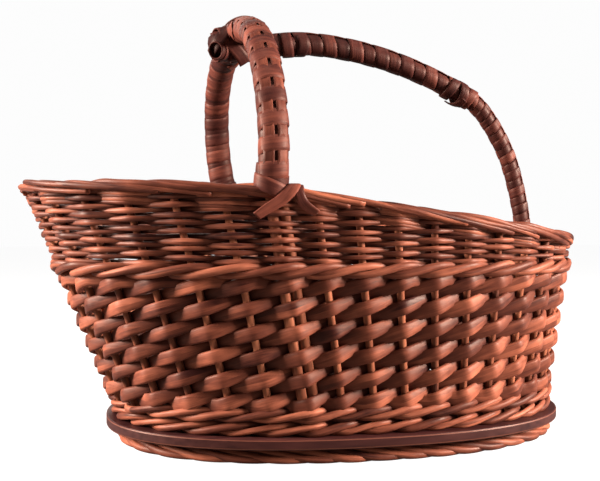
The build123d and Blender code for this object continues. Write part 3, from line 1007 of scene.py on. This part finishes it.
def lash_butt(bundle):
    """The arm's butt, lashed in a bulge on the near side of the far shoulder, with a hollow end; the butt
    and the rod set back in that end are painted dark as shade.
    """
    path = in_metres(((-38, 0, 280), (-50, -1, 280), (-60, -3, 278.5), (-68, -6, 276)))
    butt = Handle(path, Vector((0, -1, 0)), 8.6, 12.2, 7.4, 10.2)
    # painted shade: the butt is coloured nearly as dark as the Dark colour
    even_rod(bundle, butt.points, BUTT_RADIUS, 0.3, recess_shade=1.0)
    for along, lean, turned, lift in (
            (7, 4, 0.9, 0.6), (13, -5, 0.3, 1.3), (19, 4, 1.2, 0.7), (25, -2.5, 0.2, 1.0)):
        loop_round(bundle, butt, along * MM, 8.6, lift, lean, turned)
    path = in_metres(((-56, -1, 274.5), (-61, -6, 273.5), (-65.5, -11.5, 272)))
    eye = Handle(path, Vector((0, 0, 1)), 5.0, 4.2)
    # painted shade: the rod in the hollow end is coloured dark, standing in for the shade of the hole
    even_rod(bundle, eye.points[:-4], EYE_RADIUS, 0.0, recess_shade=1.0)
    for along, lift in ((10.0, 1.6), (14.5, 0.8)):
        loop_round(bundle, eye, along * MM, 5.6, lift, 1.0)


def make_crown_lashing():
    """Cross lashing of the arm's butt under the hoop's crown."""
    bundle = Bundle()
    # three strips from the arm's near side up over the crown and down behind the far shoulder
    lash_strips(bundle, ((-13.0, 1.9), (-3.0, 2.5), (8.0, 2.0)), (
        (-16, -28, -1.2), (-11, 12, -0.4), (-3, 50, 0.0), (7, 90, 0.5), (19, 130, 0.3),
        (32, 172, 0.0), (40, 215, -0.4), (44, 255, -1.0)), 9.4)
    # two strips the other way, from the far side of the arm over the crown to the near shoulder
    lash_strips(bundle, ((-6.0, 2.9), (6.0, 2.2)), (
        (20, -20, -1.0), (14, 20, 0.0), (4, 60, 0.4), (-7, 100, 0.4), (-17, 140, 0.0),
        (-26, 185, -0.8)), 8.8)
    lash_butt(bundle)
    # two strips across the butt: each key's point in millimetres, and where its face looks
    for rows, width in (
        ((
            (-66, -2, 287, -0.4, -0.3, 1), (-62.5, -9.5, 283, -0.2, -1, 0.5), (-56, -12, 276.5, 0, -1, 0),
            (-49, -10.5, 269.5, 0.2, -1, -0.3), (-45, -6.5, 264.5, 0.4, -0.8, -0.8),
        ), 9.0),
        ((
            (-42, 10, 293.5, -0.2, 0.3, 1), (-50, 1, 293.5, -0.3, -0.3, 1),
            (-57.5, -8, 289.5, -0.4, -0.8, 0.7), (-62.5, -12.5, 282, -0.3, -1, 0.2),
            (-67.5, -11.5, 275.5, -0.8, -0.8, 0), (-70, -5, 270, -1, 0, -0.4),
        ), 9.2),
    ):
        strip(bundle, [(Vector(row[:3]) * MM, Vector(row[3:])) for row in rows], width)
    # turns round the arm on both sides of the crown, and the strip that ends under it
    for along, lift in ((2.0, 0.8), (9.0, 1.0), (27.0, 1.6), (36.0, 1.3)):
        loop_round(bundle, upper_arm, along * MM, 8.4, lift, lean=1.8, phase=along)
    keys = []
    for along, degrees, lift in ((0.0, 60, 0.4), (-3.0, 40, 0.2), (-5.5, 0, -3.0), (-6.0, -60, -5.0)):
        keys.append(upper_arm.on(along * MM, math.radians(degrees), lift * MM))
    strip(bundle, keys, 9.0)
    bundle.piece("crown_lashing_skeins", skein, ["crown_lashing"])


def make_arm_tie():
    """Two raised bands where the arm's wrappings meet, with a cut end below."""
    bundle = Bundle()
    for distance, lean, lift in ((-14.0, 2.0, 1.9), (-5.5, -2.2, 2.3), (2.5, 1.6, 1.5)):
        loop_round(bundle, upper_arm, upper_arm.length + distance * MM, 7.2, lift, lean, 0.4)
    keys = []
    for back, angle, lift in ((-2, -150, 2.6), (-4, -110, 3.2), (-8, -80, 3.6), (-13, -70, 3.4)):
        keys.append(upper_arm.on(upper_arm.length + back * MM, math.radians(angle), lift * MM))
    strip(bundle, keys, 5.5)
    bundle.piece("arm_tie_skeins", skein, ["arm_tie"])


def rim_point(number, out, lift):
    """Point at a post's number by height above the border's base line, facing away from the border."""
    point, outwards = place(number, border_base(number) + lift * MM, out * MM)
    facing = outwards * (out - 0.8) + Vector((0, 0, lift - 3.2))
    return point, facing.normalized()


def make_leg_tie(name, node, leg, way):
    """Skein that ties a leg's wrapping down over the border, with a cut end across its foot."""
    bundle = Bundle()
    for width, tone, rows in (  # spaces from the leg, out, height above the border's base line
        (7.4, 1.0, (
            (0.46, -5.6, 4.0), (0.52, -1.0, 10.6), (0.50, 6.0, 10.0), (0.34, 9.3, 5.4),
            (0.08, 10.2, -0.6), (-0.18, 10.2, -5.4), (-0.42, 9.6, -10.2))),
        (6.0, None, (
            (0.66, -6.2, 2.0), (0.66, -4.2, 9.2), (0.60, 4.0, 10.4), (0.58, 8.6, 5.0),
            (0.66, 8.6, -0.5), (0.92, 7.0, -5.0))),
    ):
        keys = [rim_point(leg + way * along, out, lift) for along, out, lift in rows]
        strip(bundle, keys, width, tone)
    for up, width, lean, lift in ((0.5, 9.4, 3.2, 1.3), (-5.5, 9.0, 3.4, 1.9)):
        distance = up * MM if way > 0 else hoop.length - up * MM
        loop_round(bundle, hoop, distance, width, lift, lean, math.pi / 2)
    bundle.piece(name, skein, [node])


def make_arm_foot_tie():
    """Skein round the border and the arm's foot, which stands inside the wall."""
    bundle = Bundle()
    middle = SPACES_LOW_END / 2 + 0.5
    for number, slant in ((middle - 0.22, 0.14), (middle, -0.12), (middle + 0.2, 0.1)):
        samples = []
        for angle in one_turn(FOOT_SIDES):
            out = -6.2 + 15.2 * signed_power(math.cos(angle), 0.75)
            lift = 4.2 + 7.4 * signed_power(math.sin(angle), 0.75)
            level = border_base(number) + lift * MM
            point, outwards = place(number + slant * math.cos(angle), level, out * MM)
            facing = outwards * math.cos(angle) + Vector((0, 0, math.sin(angle)))
            samples.append((point, facing.normalized()))
        ribbon(bundle, samples, 5.6, random.random(), closed=True)
    for number in (middle - 1.05, middle - 0.75):
        samples = []
        for angle in one_turn(RIM_SIDES):
            out = 0.8 + 7.6 * signed_power(math.cos(angle), 0.75)
            lift = 3.8 + 7.2 * signed_power(math.sin(angle), 0.75)
            samples.append(rim_point(number + 0.05 * math.sin(angle), out, lift))
        ribbon(bundle, samples, 5.0, random.random(), closed=True)
    bundle.piece("arm_foot_skeins", skein, ["arm_foot_tie"])


def make_cores():
    """The hoop's two rods, from the board through the wall and over, and the arm's rod."""
    bundle = Bundle()
    feet = [place(number, BOARD_TOP - 1 * MM)[0] for number in LEG_POSTS]
    far_foot = Vector((hoop_foot.x, -hoop_foot.y, hoop_foot.z))
    path = [feet[0], hoop_foot, *hoop_corners[1:-1], far_foot, feet[1]]
    for along in (-CORE_SPREAD, CORE_SPREAD):
        line = smooth_path([point + Vector((along, 0, 0)) for point in path], CORE_SPACING)
        even_rod(bundle, line, CORE_RADIUS, 0.5)
    bundle.piece("hoop_rods", stake_willow, ["hoop_core"])
    bundle = Bundle()
    line = smooth_path([arm_corners[0].lerp(arm_corners[1], 0.5), *arm_corners[1:]], CORE_SPACING)
    even_rod(bundle, line, ARM_CORE_RADIUS, 0.5)
    bundle.piece("arm_rod", stake_willow, ["arm_core"])


# ===== stage =====

def make_floor():
    """Pale floor that catches soft shadows and looks nearly white to the camera."""
    bpy.ops.object.select_all(action="DESELECT")
    bpy.ops.mesh.primitive_plane_add(size=FLOOR_SIZE)
    floor = bpy.context.object
    floor.name = "floor"
    material, n, principled, _ = shader("pale floor", 0.0, 0.1, 0.0)
    seen = n.add("ShaderNodeLightPath").outputs["Is Camera Ray"]
    principled.inputs["Base Color"].default_value = (FLOOR_SHADE, FLOOR_SHADE, FLOOR_SHADE, 1)
    principled.inputs["Emission Color"].default_value = WHITE
    n.link(n.math("MULTIPLY", seen, FLOOR_SEEN), principled.inputs["Emission Strength"])
    principled.inputs["Roughness"].default_value = 0.9
    floor.data.materials.append(material)


def make_studio():
    """White surroundings that give little light, and four soft lights."""
    world = bpy.data.worlds.new("studio")
    scene.world = world
    scene.view_settings.view_transform = "Standard"
    world.use_nodes = True
    n = Nodes(world.node_tree)
    sky = world.node_tree.nodes["Background"]
    seen = n.add("ShaderNodeLightPath").outputs["Is Camera Ray"]
    n.link(n.math("ADD", n.math("MULTIPLY", seen, SKY_SEEN), SKY_LIGHT), sky.inputs["Strength"])
    sky.inputs["Color"].default_value = WHITE
    for title, where, size, power in LIGHTS:
        light = bpy.data.lights.new(title, "AREA")
        light.size = size
        light.energy = power
        light.color = LIGHT_COLOR
        lamp = bpy.data.objects.new(title, light)
        lamp.location = where
        aim = LIGHT_AIM - Vector(where)
        lamp.rotation_euler = aim.to_track_quat("-Z", "Y").to_euler()
        scene.collection.objects.link(lamp)


def make_camera():
    """Camera low on the near side, a little left of the basket."""
    data = bpy.data.cameras.new("camera")
    data.lens = CAMERA_LENS
    data.sensor_width = CAMERA_SENSOR
    camera = bpy.data.objects.new("camera", data)
    camera.location = CAMERA_PLACE
    camera.rotation_euler = (math.pi / 2 - CAMERA_DIP, 0.0, -CAMERA_TURN)
    scene.collection.objects.link(camera)
    scene.camera = camera


make_camera()
make_floor()
make_studio()
make_board()
make_foot()
make_wale("base_wale_rods", "base_wale", BOARD_TOP, 2, WALE_RADIUS)
make_body()
make_wale("top_wale_rods", "top_wale", BODY_TOP, 1, TOP_WALE_RADIUS)
make_fine_rows()
make_stakes()
make_border()
make_hoop()
make_arm()
make_cores()
make_crown_lashing()
make_arm_tie()
make_leg_tie("near_leg_skeins", "near_leg_tie", 0, 1)
make_leg_tie("far_leg_skeins", "far_leg_tie", SPACES_LOW_END, -1)
make_arm_foot_tie()
